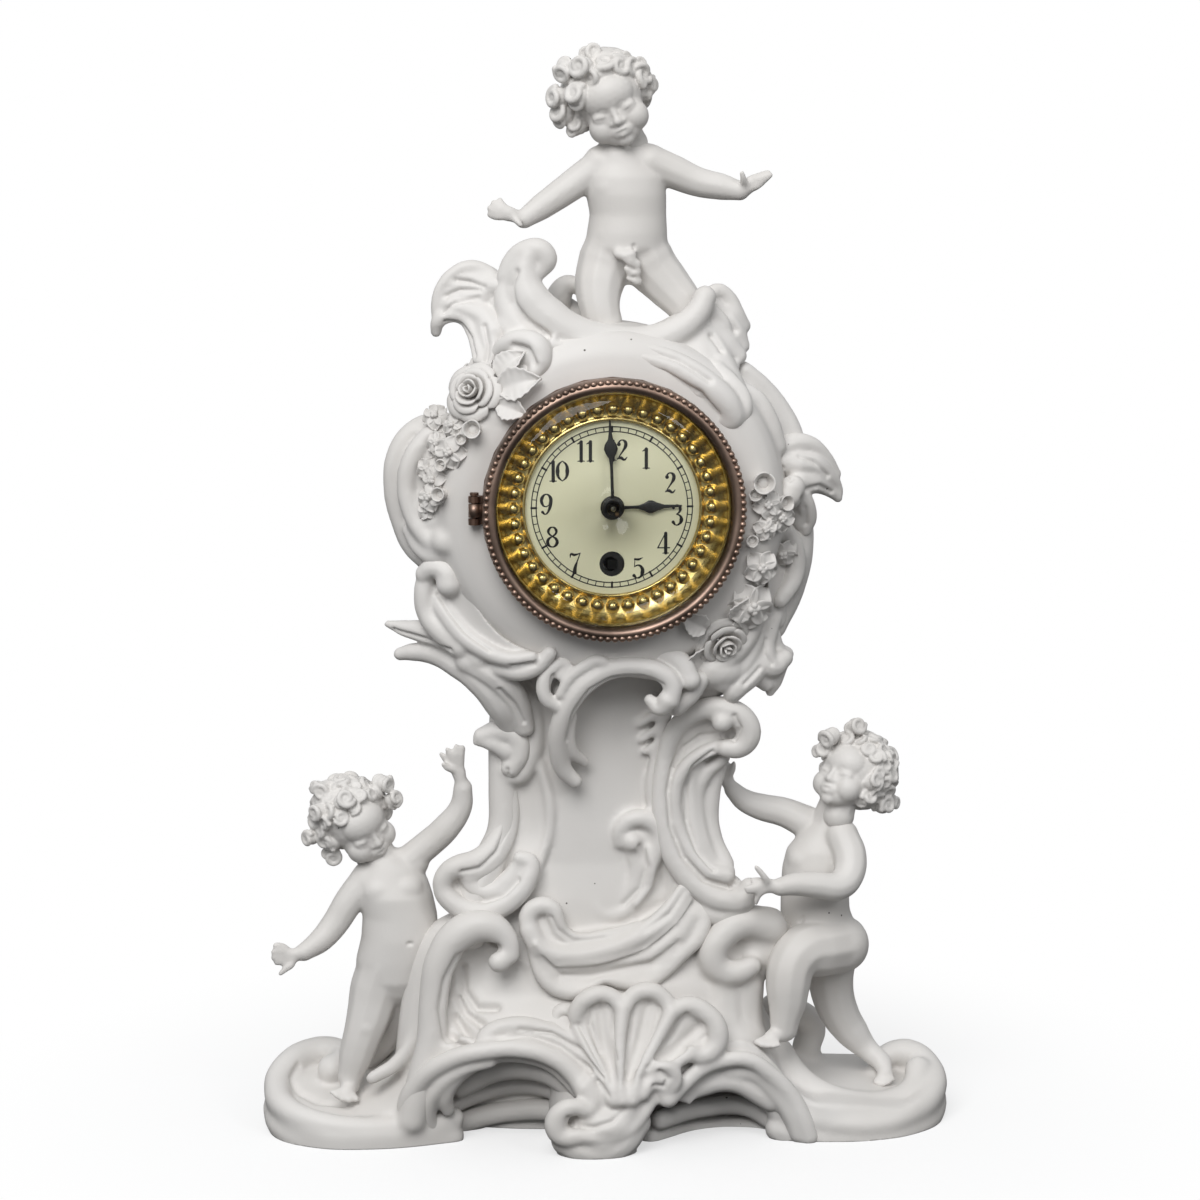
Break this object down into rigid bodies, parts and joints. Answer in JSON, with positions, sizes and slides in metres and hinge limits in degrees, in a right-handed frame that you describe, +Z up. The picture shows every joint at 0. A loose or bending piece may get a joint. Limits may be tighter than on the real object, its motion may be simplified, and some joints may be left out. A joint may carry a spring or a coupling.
{
  "type": "porcelain mantel clock",
  "caption": "Mantel clock with a scrolled porcelain case and cherub figures round a hinged glazed bezel, a dial with hands and a wound lever timepiece.",
  "frame": {"origin": "middle of the overall footprint on the table surface", "axes": "+X to the right seen from the front, +Y towards the back, +Z up"},
  "size_m": [0.2272, 0.09, 0.3523],
  "materials": {
    "porcelain": "matte unglazed",
    "glass": "clear",
    "dial": "cream enamel",
    "gilt": "polished gilt",
    "bronze": "dark lacquered",
    "black": "blackened",
    "steel": "satin",
    "brass": "lacquered"
  },
  "bodies": {
    "clock_body": {"base": "porcelain", "clock_case": "porcelain", "waist": "porcelain", "left_arch": "porcelain", "right_arch": "porcelain", "palmette": "porcelain", "left_waist_scroll": "porcelain", "right_waist_scroll": "porcelain", "case_scroll": "porcelain", "left_case_leaf": "porcelain", "right_case_leaf": "porcelain", "ear_leaf": "porcelain", "crest": "porcelain", "crest_shell": "porcelain", "left_putto": "porcelain", "right_putto": "porcelain", "top_putto": "porcelain", "rose_left": "porcelain", "garland_left": "porcelain", "rose_right": "porcelain", "garland_right": "porcelain", "dial": "dial", "sight_ring": "gilt", "hairspring": "steel", "cover_screw_1": "steel", "cover_screw_2": "steel", "mounting_ring": "brass", "hinge_pin": "brass", "balance_bridge": "brass", "front_plate": "brass", "back_plate": "brass", "pillar_1": "brass", "pillar_2": "brass", "pillar_3": "brass", "pillar_4": "brass", "movement_can": "brass", "rear_cover": "brass"},
    "door": {"bezel_hoop": "bronze", "bezel_glass": "glass"},
    "minute_group": {"centre_wheel": "brass", "cannon_pinion": "steel", "minute_hand": "black", "hand_nut": "steel", "setting_knob": "brass"},
    "hour_group": {"hour_wheel": "brass", "hour_hand": "black"},
    "minute_wheel_body": {"minute_wheel": "brass"},
    "third_body": {"third_wheel": "brass"},
    "fourth_body": {"fourth_wheel": "brass"},
    "escape_body": {"escape_wheel": "steel"},
    "barrel_body": {"barrel": "brass", "barrel_cap": "brass", "mainspring": "steel"},
    "winding_body": {"winding_arbor": "steel", "ratchet_wheel": "steel"},
    "click_body": {"click": "steel"},
    "lever_body": {"pallet_lever": "steel"},
    "balance_body": {"balance_wheel": "brass"},
    "regulator_body": {"regulator": "steel"}
  },
  "joints": [
    {"name": "bezel_door_hinge", "type": "hinge", "parent": "clock_body", "child": "door", "pos_m": [-0.0447, -0.03225, 0.208], "axis": [0, 0, -1], "range_deg": [0, 100]},
    {"name": "minute_hand_turn", "type": "hinge", "parent": "clock_body", "child": "minute_group", "pos_m": [-0.0012, 0, 0.208], "axis": [0, 1, 0], "continuous": true},
    {"name": "hour_hand_turn", "type": "hinge", "parent": "clock_body", "child": "hour_group", "pos_m": [-0.0012, 0, 0.208], "axis": [0, 1, 0], "continuous": true},
    {"name": "minute_wheel_turn", "type": "hinge", "parent": "clock_body", "child": "minute_wheel_body", "pos_m": [0.01008, 0, 0.2121], "axis": [0, 1, 0], "continuous": true},
    {"name": "third_wheel_turn", "type": "hinge", "parent": "clock_body", "child": "third_body", "pos_m": [0.00728, 0, 0.21811], "axis": [0, 1, 0], "continuous": true},
    {"name": "fourth_wheel_turn", "type": "hinge", "parent": "clock_body", "child": "fourth_body", "pos_m": [-0.0025, 0, 0.22268], "axis": [0, 1, 0], "continuous": true},
    {"name": "escape_wheel_turn", "type": "hinge", "parent": "clock_body", "child": "escape_body", "pos_m": [-0.00978, 0, 0.22688], "axis": [0, 1, 0], "continuous": true},
    {"name": "barrel_turn", "type": "hinge", "parent": "clock_body", "child": "barrel_body", "pos_m": [-0.0012, 0, 0.19], "axis": [0, 1, 0], "continuous": true},
    {"name": "winding_turn", "type": "hinge", "parent": "clock_body", "child": "winding_body", "pos_m": [-0.0012, 0, 0.19], "axis": [0, 1, 0], "continuous": true},
    {"name": "click_lift", "type": "hinge", "parent": "clock_body", "child": "click_body", "pos_m": [0.0063, 0, 0.184], "axis": [0, 1, 0], "range_deg": [0, 20]},
    {"name": "pallet_lever_rock", "type": "hinge", "parent": "clock_body", "child": "lever_body", "pos_m": [-0.01673, 0, 0.22434], "axis": [0, 1, 0], "range_deg": [-6, 6]},
    {"name": "balance_swing", "type": "hinge", "parent": "clock_body", "child": "balance_body", "pos_m": [-0.02218, 0, 0.21656], "axis": [0, 1, 0], "range_deg": [-150, 150]},
    {"name": "regulator_turn", "type": "hinge", "parent": "clock_body", "child": "regulator_body", "pos_m": [-0.02218, 0, 0.21656], "axis": [0, 1, 0], "range_deg": [-25, 25]}
  ],
  "couplings": [
    {"joint": "hour_hand_turn", "follows": "minute_hand_turn", "ratio": 0.083333},
    {"joint": "minute_wheel_turn", "follows": "minute_hand_turn", "ratio": -0.33333},
    {"joint": "barrel_turn", "follows": "minute_hand_turn", "ratio": -0.125},
    {"joint": "third_wheel_turn", "follows": "minute_hand_turn", "ratio": -10},
    {"joint": "fourth_wheel_turn", "follows": "minute_hand_turn", "ratio": 80},
    {"joint": "escape_wheel_turn", "follows": "minute_hand_turn", "ratio": -480}
  ]
}
